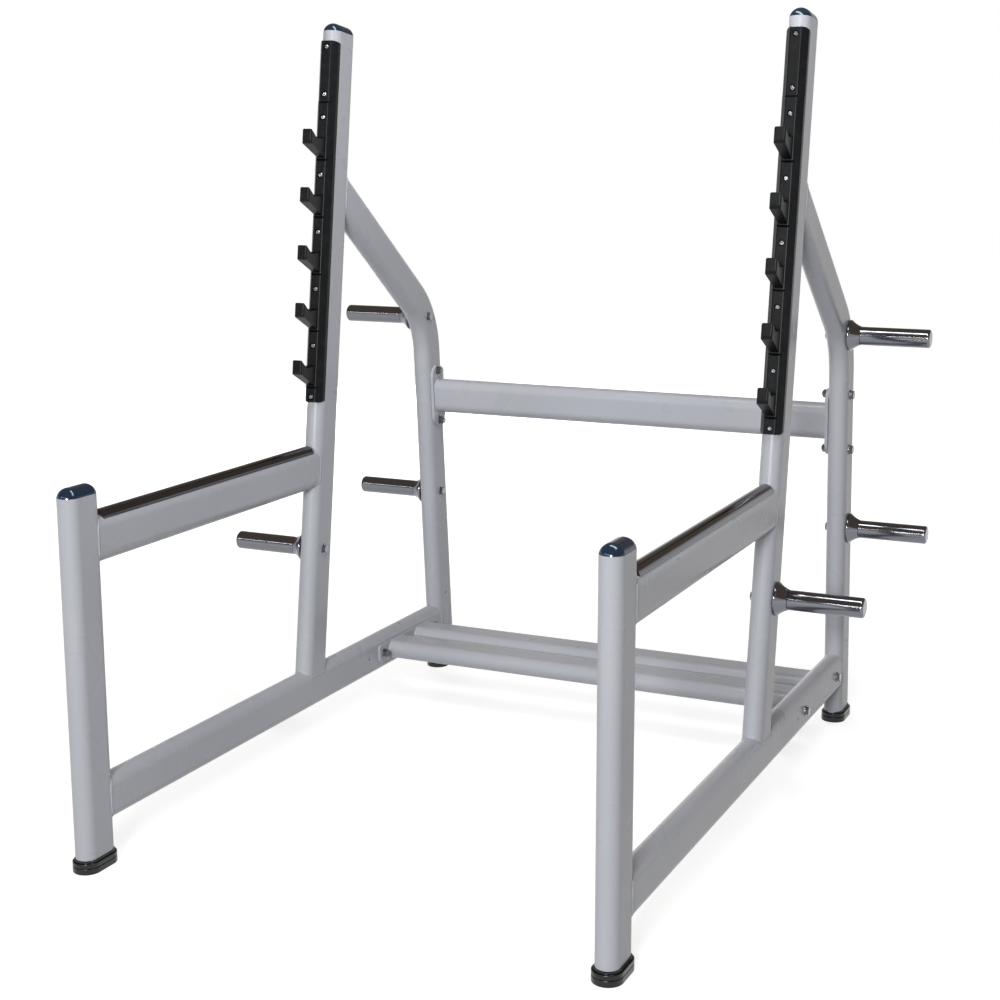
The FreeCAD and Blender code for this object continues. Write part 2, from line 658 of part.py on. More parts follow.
def peg():
    """Weight peg: tube with a closed round tip, a threaded root and a neck for its collar."""
    neck = PEG_RADIUS - PEG_NECK_DROP
    shoulder = COLLAR_LENGTH + PEG_NECK_DROP
    bore = PEG_RADIUS - PEG_WALL
    tip = PEG_LENGTH - PEG_TIP_ROUND
    bevel = PEG_TIP_ROUND * (1 - math.sqrt(1 / 2))
    deep = PEG_LENGTH - PEG_TIP_THICKNESS
    outline = loop(
        Part.LineSegment(Vector(0, BOLT_RADIUS, 0), Vector(0, neck, 0)),
        Part.LineSegment(Vector(0, neck, 0), Vector(COLLAR_LENGTH, neck, 0)),
        Part.LineSegment(Vector(COLLAR_LENGTH, neck, 0), Vector(shoulder, PEG_RADIUS, 0)),
        Part.LineSegment(Vector(shoulder, PEG_RADIUS, 0), Vector(tip, PEG_RADIUS, 0)),
        Part.Arc(Vector(tip, PEG_RADIUS, 0), Vector(PEG_LENGTH - bevel, PEG_RADIUS - bevel, 0),
                 Vector(PEG_LENGTH, PEG_RADIUS - PEG_TIP_ROUND, 0)),
        Part.LineSegment(Vector(PEG_LENGTH, PEG_RADIUS - PEG_TIP_ROUND, 0), Vector(PEG_LENGTH, 0, 0)),
        Part.LineSegment(Vector(PEG_LENGTH, 0, 0), Vector(deep, 0, 0)),
        Part.LineSegment(Vector(deep, 0, 0), Vector(deep, bore, 0)),
        Part.LineSegment(Vector(deep, bore, 0), Vector(PEG_ROOT_THICKNESS, bore, 0)),
        Part.LineSegment(Vector(PEG_ROOT_THICKNESS, bore, 0), Vector(PEG_ROOT_THICKNESS, BOLT_RADIUS, 0)),
        Part.LineSegment(Vector(PEG_ROOT_THICKNESS, BOLT_RADIUS, 0), Vector(0, BOLT_RADIUS, 0)),
    )
    return turned(outline)


def collar():
    """Flared collar round the peg's neck: round rim, hollow flank, thin lip."""
    bore = PEG_RADIUS - PEG_NECK_DROP + COLLAR_CLEARANCE
    lip = bore + COLLAR_LIP
    rim = PEG_RADIUS + COLLAR_RISE
    shoulder = rim - COLLAR_RIM_ROUND
    waist = Vector((COLLAR_RIM + COLLAR_LENGTH) / 2, (shoulder + lip) / 2 - COLLAR_HOLLOW, 0)
    outline = loop(
        Part.LineSegment(Vector(0, bore, 0), Vector(0, shoulder, 0)),
        Part.Arc(Vector(0, shoulder, 0), Vector(COLLAR_RIM / 2, rim, 0), Vector(COLLAR_RIM, shoulder, 0)),
        Part.Arc(Vector(COLLAR_RIM, shoulder, 0), waist, Vector(COLLAR_LENGTH, lip, 0)),
        Part.LineSegment(Vector(COLLAR_LENGTH, lip, 0), Vector(COLLAR_LENGTH, bore, 0)),
        Part.LineSegment(Vector(COLLAR_LENGTH, bore, 0), Vector(0, bore, 0)),
    )
    return turned(outline)


def hexagon(flats, height):
    """Hexagonal prism along X for a bolt head, a nut or a socket."""
    corner = BACK * (flats / 2 / math.cos(math.pi / HEXAGON_CORNER_COUNT))
    turn = 360 / HEXAGON_CORNER_COUNT
    points = [Rotation(ACROSS, side * turn).multVec(corner) for side in range(HEXAGON_CORNER_COUNT)]
    return Part.Face(Part.makePolygon(points + points[:1])).extrude(ACROSS * height)


def bolt(length):
    """Flange bolt along X: the flange seats at x = 0, the head is behind it."""
    flange = Part.makeCylinder(BOLT_FLANGE_RADIUS, BOLT_FLANGE_THICKNESS,
                               Vector(-BOLT_FLANGE_THICKNESS, 0, 0), ACROSS)
    head = hexagon(BOLT_HEAD_FLATS, BOLT_HEAD_HEIGHT)
    head.translate(ACROSS * -BOLT_HEAD_HEIGHT)
    shank = Part.makeCylinder(BOLT_RADIUS, length, Vector(), ACROSS)
    return shank.fuse([flange, head]).removeSplitter()


def nut():
    """Flange nut along X, seated at x = 0."""
    flange = Part.makeCylinder(BOLT_FLANGE_RADIUS, BOLT_FLANGE_THICKNESS, Vector(), ACROSS)
    body = hexagon(BOLT_HEAD_FLATS, NUT_HEIGHT).fuse(flange).removeSplitter()
    return body.cut(Part.makeCylinder(BOLT_RADIUS, NUT_HEIGHT, Vector(), ACROSS))


def at_outer_face(shape, frame):
    """The shape moved to the outer flat of the right-hand tube, pointing outwards."""
    return placed(placed(shape, Placement(ACROSS * HALF_WIDTH, Rotation())), frame)


def peg_bolts():
    """The bolts of one side's pegs, heads on the inner flats."""
    length = TUBE_WIDTH + PEG_ROOT_THICKNESS + BOLT_END
    inner = Placement(ACROSS * -HALF_WIDTH, Rotation())
    return Part.makeCompound([placed(placed(bolt(length), inner), frame) for frame in peg_places().values()])


def peg_collars():
    """The collars of one side's pegs."""
    return Part.makeCompound([at_outer_face(collar(), frame) for frame in peg_places().values()])


def cross_bolt_places():
    """Reaches up the leg of the upper cross rail's bolts."""
    offset = CROSS_PLATE_LENGTH / 2 - CROSS_BOLT_INSET
    return (CROSS_RAIL_REACH - offset, CROSS_RAIL_REACH + offset)


def lower_bolt_places():
    """Distances behind the front post of the lower plates' bolts."""
    offset = LOWER_PLATE_LENGTH / 2 - LOWER_BOLT_INSET
    return (LOWER_TUBE_SETBACK - offset, LOWER_TUBE_SETBACK + offset)


def inner_gap():
    """Distance between the inner flats of the two side frames."""
    return FRAME_SPACING - TUBE_WIDTH


def upper_cross_rail():
    """Oval cross rail between its two end plates, square to the rear legs."""
    run = inner_gap() - 2 * CROSS_PLATE_THICKNESS
    rail = placed(lifted(oval_tube(run, CROSS_RAIL_DEPTH), -run / 2), LEVEL)
    return placed(lifted(rail, CROSS_RAIL_REACH), LEG)


def upper_end_plate():
    """Round-ended plate between the cross rail and the right leg, drilled for two bolts."""
    plate = Part.Face(oval_wire(CROSS_PLATE_WIDTH, CROSS_PLATE_LENGTH)).extrude(UP * CROSS_PLATE_THICKNESS)
    plate = placed(plate, LEVEL)
    plate.translate(ACROSS * (-HALF_WIDTH - CROSS_PLATE_THICKNESS) + UP * CROSS_RAIL_REACH)
    for z in cross_bolt_places():
        plate = plate.cut(bolt_drill(0, z))
    return placed(plate, LEG)


def lower_cross_tube(side):
    """Flat-lying cross tube between the lower plates, ahead (-1) of or behind (1) their middle."""
    run = inner_gap() - 2 * LOWER_PLATE_THICKNESS
    tube = placed(lifted(oval_tube(run), -run / 2), Placement(Vector(), Rotation(BACK, 90)))
    setback = LOWER_TUBE_SETBACK + side * LOWER_TUBE_SPACING / 2
    tube.translate(Vector(0, setback - STANCE / 2, BASE_RAIL_HEIGHT))
    return tube


def lower_end_plate():
    """Plate on the base rail's inner flat that carries both lower cross tubes."""
    half = LOWER_PLATE_LENGTH / 2
    x = -HALF_WIDTH - LOWER_PLATE_THICKNESS
    corners = [Vector(x, NOSE_ROOT, -half), Vector(x, NOSE_ROOT, half),
               Vector(x, -NOSE_ROOT, half), Vector(x, -NOSE_ROOT, -half)]
    outline = rounded_outline([(corner, LOWER_PLATE_ROUND) for corner in corners])
    plate = Part.Face(outline).extrude(ACROSS * LOWER_PLATE_THICKNESS)
    plate = lifted(plate, LOWER_TUBE_SETBACK)
    for z in lower_bolt_places():
        plate = plate.cut(bolt_drill(0, z))
    return placed(plate, BASE_RAIL)


def through_bolts(places, frame, plate):
    """Bolts of a plate on the right-hand frame, heads on the outer flats, and their nuts."""
    grip = TUBE_WIDTH + plate
    bolts = []
    nuts = []
    for z in places:
        head = Placement(Vector(HALF_WIDTH, 0, z), Rotation(UP, 180))
        seat = Placement(Vector(HALF_WIDTH - grip, 0, z), Rotation(UP, 180))
        bolts.append(placed(placed(bolt(grip + NUT_HEIGHT + BOLT_END), head), frame))
        nuts.append(placed(placed(nut(), seat), frame))
    return bolts, nuts


def on_right(shape):
    """A side-frame part moved from the middle plane to the right side frame."""
    moved = shape.copy()
    moved.translate(ACROSS * (FRAME_SPACING / 2))
    return moved


def on_left(shape):
    """The mirror image of the same part on the left side frame."""
    return on_right(shape).mirror(Vector(), ACROSS)


def save(name, shape):
    """Write one node."""
    shape.exportStep("parts/%s.step" % name)


def save_pair(name, shape):
    """Write a side-frame part for the left and the right side."""
    save(name + "_left", on_left(shape))
    save(name + "_right", on_right(shape))


def save_set(name, solids):
    """Write like fasteners of both sides as one node of separate solids."""
    both = [on_left(solid) for solid in solids] + [on_right(solid) for solid in solids]
    save(name, Part.makeCompound(both))


def main():
    """Build every piece of the rack."""
    os.makedirs("parts", exist_ok=True)
    save_pair("front_post", front_post())
    save_pair("spotter_rail", spotter_rail())
    save_pair("base_rail", base_rail())
    save_pair("upright", upright())
    save_pair("rear_leg", rear_leg())
    save_pair("post_cap", placed(lifted(end_cap(), POST_HEIGHT), POST))
    save_pair("upright_cap", placed(lifted(end_cap(), UPRIGHT_REACH), UPRIGHT))
    save_pair("front_boot", boot(POST))
    save_pair("rear_boot", boot(LEG))
    save_pair("wear_strip", wear_strip())
    save_pair("top_guard", top_guard())
    for index in range(CATCH_COUNT):
        save_pair("bar_catch_%d" % (index + 1), bar_catch(index))
    save_pair("guard_end", guard_end())
    save_pair("guard_screws", guard_screws())
    for name, frame in peg_places().items():
        save_pair("peg_" + name, at_outer_face(peg(), frame))
    save_pair("peg_collars", peg_collars())
    save_pair("peg_bolts", peg_bolts())
    save("upper_cross_rail", upper_cross_rail())
    save_pair("upper_end_plate", upper_end_plate())
    bolts, nuts = through_bolts(cross_bolt_places(), LEG, CROSS_PLATE_THICKNESS)
    save_set("upper_rail_bolts", bolts)
    save_set("upper_rail_nuts", nuts)
    save("lower_front_tube", lower_cross_tube(-1))
    save("lower_rear_tube", lower_cross_tube(1))
    save_pair("lower_end_plate", lower_end_plate())
    bolts, nuts = through_bolts(lower_bolt_places(), BASE_RAIL, LOWER_PLATE_THICKNESS)
    save_set("lower_tube_bolts", bolts)
    save_set("lower_tube_nuts", nuts)


main()
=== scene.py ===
"""Looks of the squat rack: finishes, weld beads, floor, light and camera.

Metres, in the rack's own frame: X to the right seen from the open front, Y to
the back, Z up, origin on the floor between the side frames.
"""
import json
import logging
import math
from dataclasses import dataclass
from enum import Enum

import bpy
from mathutils import Matrix, Vector


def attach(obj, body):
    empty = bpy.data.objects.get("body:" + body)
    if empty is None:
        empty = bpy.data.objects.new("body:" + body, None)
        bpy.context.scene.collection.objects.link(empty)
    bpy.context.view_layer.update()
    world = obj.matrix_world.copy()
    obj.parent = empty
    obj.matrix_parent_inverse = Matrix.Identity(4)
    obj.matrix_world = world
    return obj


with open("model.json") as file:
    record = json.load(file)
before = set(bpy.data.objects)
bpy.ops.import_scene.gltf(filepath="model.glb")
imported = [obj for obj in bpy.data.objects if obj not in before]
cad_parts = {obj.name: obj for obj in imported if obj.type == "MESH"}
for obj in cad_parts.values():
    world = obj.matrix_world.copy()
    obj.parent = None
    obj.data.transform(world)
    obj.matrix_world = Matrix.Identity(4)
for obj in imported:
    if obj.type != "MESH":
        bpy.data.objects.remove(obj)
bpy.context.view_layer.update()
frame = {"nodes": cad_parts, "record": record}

log = logging.getLogger("squat_rack")

Tree = bpy.types.NodeTree
Node = bpy.types.Node
Socket = bpy.types.NodeSocket
Material = bpy.types.Material

MM = 0.001
WHITE = "#FFFFFF"


class Slot(Enum):
    """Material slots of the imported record."""

    PAINT = "frame_paint"
    GUARD = "guard_plastic"
    CAP = "cap_plastic"
    BOOT = "boot_rubber"
    CHROME = "chrome"
    ZINC = "bright_steel"


def linear(colour: str) -> tuple[float, float, float, float]:
    """Turn an sRGB hex colour into linear light.

    Args:
        colour: hex colour such as "#B9BABE".

    Returns:
        Red, green, blue and an alpha of one.
    """
    channels = [int(colour[i:i + 2], 16) / 255 for i in (1, 3, 5)]
    light = [c / 12.92 if c <= 0.04045 else ((c + 0.055) / 1.055) ** 2.4 for c in channels]
    return (light[0], light[1], light[2], 1.0)


def add_node(tree: Tree, kind: str, settings: dict[str, object] | None = None, **inputs: object) -> Node:
    """Add a node, set its properties and fill or link its inputs.

    Args:
        tree: node tree that gets the node.
        kind: Blender's type name of the node.
        settings: properties of the node itself.
        inputs: values or output sockets by input name, with spaces as
            underscores, or by number after an underscore.

    Returns:
        The new node.
    """
    node = tree.nodes.new(kind)
    for name, value in (settings or {}).items():
        setattr(node, name, value)
    for name, value in inputs.items():
        key = int(name[1:]) if name[1:].isdigit() else name.replace("_", " ")
        socket = node.inputs[key]
        if isinstance(value, Socket):
            tree.links.new(value, socket)
        else:
            socket.default_value = value
    return node


def noise(tree: Tree, place: Socket, size_mm: float, detail: float = 2.0) -> Socket:
    """Noise whose spots are of a given real size.

    Args:
        tree: node tree.
        place: coordinate socket, in metres.
        size_mm: size of one spot in millimetres.
        detail: octaves of finer noise.

    Returns:
        The factor socket.
    """
    scale = 1 / (size_mm * MM)
    texture = add_node(tree, "ShaderNodeTexNoise", Vector=place, Scale=scale, Detail=detail)
    return texture.outputs["Fac"]


def mixed(tree: Tree, factor: Socket, low: str, high: str, limits: tuple[float, float]) -> Socket:
    """Colour that goes from one hex to another over a range of a factor.

    Args:
        tree: node tree.
        factor: factor socket.
        low: colour at and below the lower limit.
        high: colour at and above the upper limit.
        limits: factors at which the change starts and ends.

    Returns:
        The colour socket.
    """
    ramp = add_node(tree, "ShaderNodeValToRGB", Fac=factor)
    first, last = ramp.color_ramp.elements
    first.position, first.color = limits[0], linear(low)
    last.position, last.color = limits[1], linear(high)
    return ramp.outputs["Color"]


@dataclass(frozen=True)
class Finish:
    """A surface: its colour, spots of a second colour, uneven gloss and a fine relief.

    Sizes and depths are real ones in millimetres. The spots' range is a range
    of the noise, and the changes of gloss are added to the roughness.
    """

    name: str
    colour: str
    roughness: float
    metallic: float = 0.0
    ior: float = 1.5
    specular: float = 0.5
    spot_colour: str | None = None
    spot_mm: float = 10.0
    spot_detail: float = 2.0
    spot_range: tuple[float, float] = (0.5, 0.8)
    gloss_mm: float = 10.0
    gloss_detail: float = 2.0
    gloss_change: tuple[float, float] = (0.0, 0.05)
    relief_mm: float = 3.0
    relief_depth_mm: float = 0.01
    relief_strength: float = 0.4

    def build(self) -> Material:
        """Make the material.

        Returns:
            The material, with its patterns on object coordinates.
        """
        material = bpy.data.materials.new(self.name)
        material.use_nodes = True
        tree = material.node_tree
        tree.nodes.clear()
        shader = add_node(
            tree,
            "ShaderNodeBsdfPrincipled",
            Base_Color=linear(self.colour),
            Roughness=self.roughness,
            Metallic=self.metallic,
        )
        if not self.metallic:
            shader.inputs["IOR"].default_value = self.ior
            shader.inputs["Specular IOR Level"].default_value = self.specular
        add_node(tree, "ShaderNodeOutputMaterial", Surface=shader.outputs["BSDF"])
        place = add_node(tree, "ShaderNodeTexCoord").outputs["Object"]
        if self.spot_colour:
            spots = noise(tree, place, self.spot_mm, self.spot_detail)
            spotted = mixed(tree, spots, self.colour, self.spot_colour, self.spot_range)
            tree.links.new(spotted, shader.inputs["Base Color"])
        gloss = add_node(
            tree,
            "ShaderNodeMapRange",
            Value=noise(tree, place, self.gloss_mm, self.gloss_detail),
            To_Min=self.roughness + self.gloss_change[0],
            To_Max=self.roughness + self.gloss_change[1],
        )
        tree.links.new(gloss.outputs["Result"], shader.inputs["Roughness"])
        bump = add_node(
            tree,
            "ShaderNodeBump",
            Height=noise(tree, place, self.relief_mm),
            Distance=self.relief_depth_mm * MM,
            Strength=self.relief_strength,
        )
        tree.links.new(bump.outputs["Normal"], shader.inputs["Normal"])
        return material


@dataclass(frozen=True)
class PowderCoat(Finish):
    """Polyester powder coat, baked: satin, faintly cloudy, with the orange peel of melted powder.

    The peel is a millimetre wide on the real coat, drawn three times as wide so that it shows.
    """

    spot_colour: str | None = "#A9ABB2"
    spot_mm: float = 240.0
    spot_detail: float = 0.0
    spot_range: tuple[float, float] = (0.25, 0.75)
    gloss_mm: float = 80.0
    gloss_detail: float = 0.0
    gloss_change: tuple[float, float] = (-0.02, 0.02)
    relief_mm: float = 3.0
    relief_depth_mm: float = 0.01
    relief_strength: float = 0.35


@dataclass(frozen=True)
class MouldedGuard(Finish):
    """Polyethylene moulding in charcoal: dull, scuffed a little lighter, with spark-eroded mould grain.

    The grain is a fifth of a millimetre on the real moulding, drawn at about one so that it shows.
    """

    spot_colour: str | None = "#15171A"
    spot_mm: float = 20.0
    spot_detail: float = 6.0
    spot_range: tuple[float, float] = (0.45, 0.75)
    gloss_mm: float = 20.0
    gloss_detail: float = 6.0
    gloss_change: tuple[float, float] = (-0.03, 0.05)
    relief_mm: float = 1.1
    relief_depth_mm: float = 0.015
    relief_strength: float = 0.5


@dataclass(frozen=True)
class GlossCap(Finish):
    """Injection-moulded ABS in navy-black: mirror-bright, faintly dusty, with faint shrinkage waves."""

    gloss_mm: float = 3.0
    gloss_detail: float = 4.0
    gloss_change: tuple[float, float] = (0.0, 0.08)
    relief_mm: float = 22.0
    relief_depth_mm: float = 0.08


@dataclass(frozen=True)
class BootRubber(Finish):
    """Moulded rubber, black and waxy, with dull dusty spots and a skin of fine pits."""

    spot_colour: str | None = "#101418"
    spot_mm: float = 6.0
    spot_detail: float = 5.0
    gloss_mm: float = 6.0
    gloss_detail: float = 5.0
    gloss_change: tuple[float, float] = (-0.04, 0.14)
    relief_mm: float = 1.2
    relief_depth_mm: float = 0.04


@dataclass(frozen=True)
class BrightMetal(Finish):
    """Steel plated in a bath: a clear or soft mirror, a little wavy, with rubbing marks in its gloss."""

    metallic: float = 1.0
    gloss_mm: float = 2.0
    gloss_detail: float = 6.0
    gloss_change: tuple[float, float] = (0.0, 0.04)
    relief_mm: float = 40.0
    relief_depth_mm: float = 0.02
    relief_strength: float = 0.3


FINISHES = {
    Slot.PAINT: PowderCoat("silver_grey_powder_coat", "#A3A6AD", 0.28, specular=0.34),
    Slot.GUARD: MouldedGuard("charcoal_polyethylene", "#090B0D", 0.34, specular=0.14),
    Slot.CAP: GlossCap("navy_blue_abs", "#11263A", 0.10, ior=1.54),
    Slot.BOOT: BootRubber("black_boot_rubber", "#070B0F", 0.17, ior=1.52, specular=0.4),
    Slot.CHROME: BrightMetal("chrome_plate", "#76787E", 0.08),
    Slot.ZINC: BrightMetal("bright_zinc_plate", "#8E9095", 0.17, gloss_change=(0.0, 0.08)),
}

# The spotter rails' wear strips get a darker, slightly rougher chrome than the pegs
WEAR_STRIP_FINISH = BrightMetal("dulled_chrome_plate", "#5C5E63", 0.09)
WEAR_STRIP_NODES = "wear_strip"


class Dresser:
    """Gives each CAD node the finish of its material slot."""

    def __init__(self) -> None:
        """Build every finish once."""
        self.materials = {slot: finish.build() for slot, finish in FINISHES.items()}
        self.wear_strip = WEAR_STRIP_FINISH.build()

    def dress(self) -> None:
        """Put the finishes into the nodes' material slots."""
        for part in frame["record"]["subparts"]:
            node = frame["nodes"][part["node"]]
            on_wear_strip = node.name.startswith(WEAR_STRIP_NODES)
            material = self.wear_strip if on_wear_strip else self.materials[Slot(part["material_slot"])]
            for slot in node.material_slots:
                slot.material = material
            log.info("%s: %s", node.name, material.name)


@dataclass(frozen=True)
class Member:
    """A flat-oval tube, as the line of its axis in the plane of a side frame."""

    foot: Vector
    along: Vector

    @property
    def across(self) -> Vector:
        """Direction square to the axis: to the back of a standing tube, down from a level one."""
        return Vector((self.along.y, -self.along.x))


def leaning(y: float, lean: float) -> Member:
    """A tube whose axis leaves the floor at y and leans back by an angle.

    Args:
        y: place of the axis on the floor.
        lean: angle from upright in degrees, to the back.

    Returns:
        The tube's axis.
    """
    angle = math.radians(lean)
    return Member(Vector((y, 0.0)), Vector((math.sin(angle), math.cos(angle))))


def level(y: float, z: float) -> Member:
    """A level tube that runs to the back from a point.

    Args:
        y: start of the axis.
        z: height of the axis.

    Returns:
        The tube's axis.
    """
    return Member(Vector((y, z)), Vector((1.0, 0.0)))


@dataclass
class WeldBeads:
    """Painted weld beads: where a coped tube meets another tube's nose, and round the plated ends.

    The sizes of the tubes are those of the solids. The radius, the sink and
    the unevenness are the bead's own.
    """

    spacing: float = 1.190
    half_stance: float = 0.820
    half_width: float = 0.025
    half_depth: float = 0.050
    rail_height: float = 0.709
    base_height: float = 0.143
    upright_setback: float = 0.870
    upright_lean: float = 7.45
    leg_lean: float = -4.7
    knee_start: float = 0.9446
    knee_radius: float = 0.214
    knee_turn: float = 48.5
    cope_land: float = 0.002
    cross_reach: float = 0.816
    cross_half_depth: float = 0.0475
    cross_plate: float = 0.008
    low_plate: float = 0.006
    low_places: tuple[float, float] = (0.490, 0.640)
    radius: float = 0.0034
    sink: float = 0.0018
    steps_per_nose: int = 20
    points_per_flat: int = 3
    steps_across_bead: int = 2
    unevenness: float = 0.10
    ripple_turns: tuple[float, float] = (2.3, 0.9)

    def build(self, material: Material) -> None:
        """Lay every bead on the right side frame and copy it to the left one.

        Args:
            material: finish of the tubes.
        """
        post = leaning(-self.half_stance, 0.0)
        upright = leaning(self.upright_setback - self.half_stance, self.upright_lean)
        leg = leaning(self.half_stance, self.leg_lean)
        rail = level(-self.half_stance, self.rail_height)
        base = level(-self.half_stance, self.base_height)
        joints = {
            "weld_rail_to_post": (rail, post, 1),
            "weld_rail_to_upright": (rail, upright, -1),
            "weld_base_to_post": (base, post, 1),
            "weld_base_to_leg": (base, leg, -1),
            "weld_upright_to_base": (upright, base, -1),
            "weld_strut_to_upright": (self.strut(leg), upright, 1),
        }
        for name, (member, mate, side) in joints.items():
            self.lay(name, self.coped_line(member, mate, side), material)
        x = -self.half_width - self.cross_plate
        cross = leg.foot + leg.along * self.cross_reach
        self.lay("weld_cross_rail", self.plate_line(x, cross, leg.along, self.cross_half_depth), material)
        x = -self.half_width - self.low_plate
        for name, y in zip(("weld_low_front_tube", "weld_low_rear_tube"), self.low_places):
            centre = Vector((y, self.base_height))
            self.lay(name, self.plate_line(x, centre, base.along, self.half_depth), material)

    def strut(self, leg: Member) -> Member:
        """The strut above the knee of the rear leg.

        Args:
            leg: axis of the straight leg.

        Returns:
            The strut's axis, from the end of the bend.
        """
        ahead = -leg.across
        start = leg.foot + leg.along * self.knee_start
        turn = math.radians(self.knee_turn)
        end = start + leg.along * (self.knee_radius * math.sin(turn))
        end += ahead * (self.knee_radius * (1 - math.cos(turn)))
        return Member(end, leg.along * math.cos(turn) + ahead * math.sin(turn))

    def outline(self, half_depth: float) -> list[tuple[float, float]]:
        """Points round a flat-oval section, a little inside its skin.

        Args:
            half_depth: half of the long way of the section.

        Returns:
            Places across the side frame and along the section's long way.
        """
        nose = self.half_width - self.sink
        root = half_depth - self.half_width
        points = []
        for end in (1, -1):
            for step in range(self.steps_per_nose + 1):
                angle = math.pi * step / self.steps_per_nose
                points.append((end * nose * math.cos(angle), end * (root + nose * math.sin(angle))))
            for step in range(self.points_per_flat):
                share = (step + 1) / (self.points_per_flat + 1)
                points.append((-end * nose, end * root * (1 - 2 * share)))
        return points

    def coped_line(self, member: Member, mate: Member, side: int) -> list[Vector]:
        """Line along which a tube's end meets the nose of another tube.

        Args:
            member: the tube that ends.
            mate: the tube it is welded to.
            side: which nose of the mate, along its across direction.

        Returns:
            Points of the closed line, the side frame's middle plane at x = 0.
        """
        line = []
        root = self.half_depth - self.half_width
        for x, v in self.outline(self.half_depth):
            bulge = math.sqrt(max(self.half_width ** 2 - x ** 2, 0.0))
            reach = side * (root + max(bulge, self.cope_land))
            start = member.foot + member.across * v
            run = (reach - (start - mate.foot).dot(mate.across)) / member.along.dot(mate.across)
            place = start + member.along * run
            line.append(Vector((x, place.x, place.y)))
        return line

    def plate_line(self, x: float, centre: Vector, long_way: Vector, half_depth: float) -> list[Vector]:
        """Line round a tube that stands square on an end plate.

        Args:
            x: place of the plate's face.
            centre: centre of the tube in the side frame's plane.
            long_way: direction of the section's long way in that plane.
            half_depth: half of the long way of the section.

        Returns:
            Points of the closed line.
        """
        short_way = Vector((-long_way.y, long_way.x))
        line = []
        for u, v in self.outline(half_depth):
            place = centre + short_way * u + long_way * v
            line.append(Vector((x, place.x, place.y)))
        return line

    def lay(self, name: str, line: list[Vector], material: Material) -> None:
        """Sweep a bead along a closed line, on both side frames.

        Args:
            name: name of the piece, without its side.
            line: points of the closed line.
            material: finish of the bead.
        """
        right = self.sweep(name, line)
        left = right.copy()
        left.data = right.data.copy()
        left.name = name + "_left"
        bpy.context.scene.collection.objects.link(left)
        left.data.transform(Matrix.Scale(-1.0, 4, (1.0, 0.0, 0.0)))
        left.data.flip_normals()
        for piece in (right, left):
            piece.data.materials.clear()
            piece.data.materials.append(material)
            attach(piece, "root")
            log.info("%s", piece.name)

    def sweep(self, name: str, line: list[Vector]) -> bpy.types.Object:
        """Make the right side frame's bead, slightly uneven along its run.

        Args:
            name: name of the piece, without its side.
            line: points of the closed line.

        Returns:
            The bead as a mesh object.
        """
        data = bpy.data.curves.new(name, "CURVE")
        data.dimensions = "3D"
        data.bevel_depth = self.radius
        data.bevel_resolution = self.steps_across_bead
        spline = data.splines.new("POLY")
        spline.points.add(len(line) - 1)
        wide, narrow = self.ripple_turns
        for index, (point, place) in enumerate(zip(spline.points, line)):
            point.co = (place.x + self.spacing / 2, place.y, place.z, 1.0)
            point.radius = 1.0 + self.unevenness * math.sin(wide * index) * math.cos(narrow * index)
        spline.use_cyclic_u = True
        bead = bpy.data.objects.new(name + "_right", data)
        bpy.context.scene.collection.objects.link(bead)
        bpy.ops.object.select_all(action="DESELECT")
        bead.select_set(True)
        bpy.context.view_layer.objects.active = bead
        bpy.ops.object.convert(target="MESH")
        bpy.ops.object.shade_smooth()
        return bead


@dataclass(frozen=True)
class StudioCamera:
    """The photograph's viewpoint, in metres and degrees, the lens in millimetres."""

    place: tuple[float, float, float] = (1.6820, -3.6333, 1.5235)
    turn: float = 25.10
    pitch: float = 11.55
    roll: float = -0.11
    lens: float = 62.87
    sensor: float = 36.0
    shift_x: float = 0.0005
    shift_y: float = -0.0030
    sight: float = 60.0

    def build(self) -> None:
        """Add the camera and make it the scene's own."""
        data = bpy.data.cameras.new("camera")
        data.lens = self.lens
        data.sensor_width = self.sensor
        data.shift_x = self.shift_x
        data.shift_y = self.shift_y
        data.clip_end = self.sight
        camera = bpy.data.objects.new("camera", data)
        bpy.context.scene.collection.objects.link(camera)
        camera.matrix_world = (
            Matrix.Translation(self.place)
            @ Matrix.Rotation(math.radians(self.turn), 4, "Z")
            @ Matrix.Rotation(math.radians(90 - self.pitch), 4, "X")
            @ Matrix.Rotation(math.radians(self.roll), 4, "Z")
        )
        bpy.context.scene.camera = camera


@dataclass(frozen=True)
class Softbox:
    """A rectangular studio lamp that faces a point of the rack."""

    name: str
    place: tuple[float, float, float]
    aim: tuple[float, float, float]
    size: tuple[float, float]
    watts: float
    mirrored: bool = True

    def build(self) -> None:
        """Add the lamp, with or without its own gleam on glossy surfaces."""
        data = bpy.data.lights.new(self.name, "AREA")
        data.shape = "RECTANGLE"
        data.size, data.size_y = self.size
        data.energy = self.watts
        lamp = bpy.data.objects.new(self.name, data)
        bpy.context.scene.collection.objects.link(lamp)
        lamp.visible_glossy = self.mirrored
        way = Vector(self.aim) - Vector(self.place)
        lamp.matrix_world = Matrix.Translation(self.place) @ way.to_track_quat("-Z", "Y").to_matrix().to_4x4()


def seen(tree: Tree) -> Socket:
    """One where a ray comes from the camera, a mirror or glass, else zero.

    Args:
        tree: node tree.

    Returns:
        The factor socket.
    """
    path = add_node(tree, "ShaderNodeLightPath").outputs
    largest = {"operation": "MAXIMUM"}
    first = add_node(tree, "ShaderNodeMath", largest, _0=path["Is Camera Ray"], _1=path["Is Glossy Ray"])
    both = add_node(tree, "ShaderNodeMath", largest, _0=first.outputs[0], _1=path["Is Transmission Ray"])
    return both.outputs[0]


